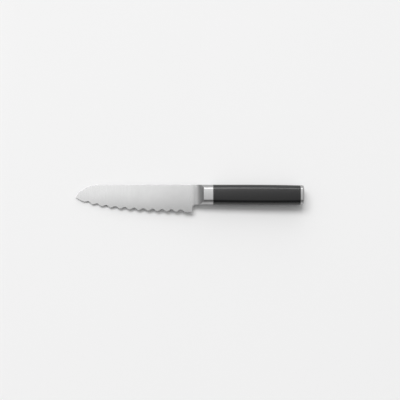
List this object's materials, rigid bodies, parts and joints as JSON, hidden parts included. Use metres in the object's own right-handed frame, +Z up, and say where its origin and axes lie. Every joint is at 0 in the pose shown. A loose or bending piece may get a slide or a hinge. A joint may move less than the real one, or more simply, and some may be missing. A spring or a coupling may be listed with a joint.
{
  "type": "serrated utility knife",
  "caption": "Kitchen utility knife with a wavy serrated edge, scooped steel bolster, black flat-sided oval grip on a hidden tang, and a steel end cap.",
  "frame": {"origin": "on the surface that the knife lies on, under the middle of its outline", "axes": "+X from the tip to the butt, +Y from the edge to the spine, +Z up from the flank that the handle lies on"},
  "size_m": [0.2542, 0.0304, 0.016],
  "materials": {
    "blade_steel": "satin ground stainless steel",
    "fitting_steel": "finely brushed stainless steel",
    "grip_composite": "satin black fibre composite",
    "cast_resin": "cast resin",
    "plain_steel": "turned steel"
  },
  "bodies": {
    "root": {"blade": "blade_steel", "bolster": "fitting_steel", "grip": "grip_composite", "end_cap": "fitting_steel", "tang_resin": "cast_resin", "tang_stud": "plain_steel", "clamp_washer": "plain_steel", "clamp_nut": "plain_steel", "cap_dowel_upper": "plain_steel", "cap_dowel_lower": "plain_steel"}
  },
  "joints": []
}
